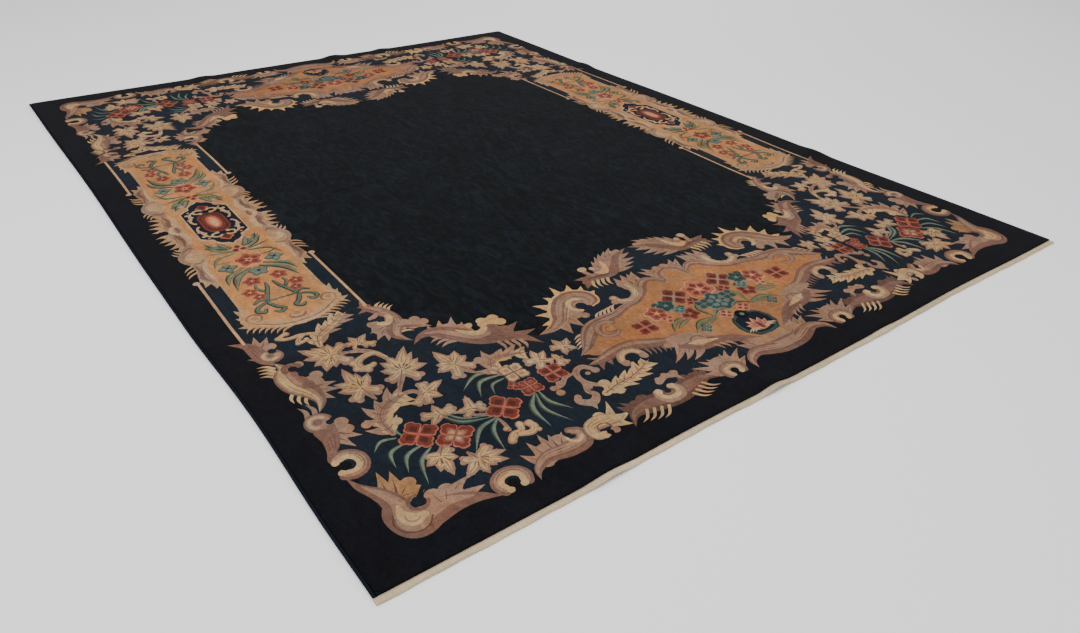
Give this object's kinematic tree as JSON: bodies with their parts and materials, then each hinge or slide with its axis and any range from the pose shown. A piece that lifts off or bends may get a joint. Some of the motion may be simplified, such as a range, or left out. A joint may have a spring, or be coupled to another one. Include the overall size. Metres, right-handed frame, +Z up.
{
  "type": "chinese art deco rug",
  "caption": "Room-size hand-knotted wool rug with a dark plain field, scroll and leaf borders and gold flowered cartouches, laid flat.",
  "frame": {"origin": "on the floor under the middle of the rug's bounding box", "axes": "+X along the near short end to the right, +Y along the long sides to the far end, +Z up out of the pile"},
  "size_m": [2.74, 3.6, 0.0212],
  "materials": {
    "wool_pile": "cut wool pile in dark navy, teal, gold, tan, mauve and red, matt with a slight sheen, carved along the motifs",
    "cotton_band": "unbleached cotton flat weave, turned under and whip-stitched, matt",
    "overcast_yarn": "navy wool yarn wound round the edge warps, matt"
  },
  "bodies": {
    "root": {"rug_body": "wool_pile", "end_band_near": "cotton_band", "end_band_far": "cotton_band", "side_cord_left": "overcast_yarn", "side_cord_right": "overcast_yarn"}
  },
  "joints": []
}
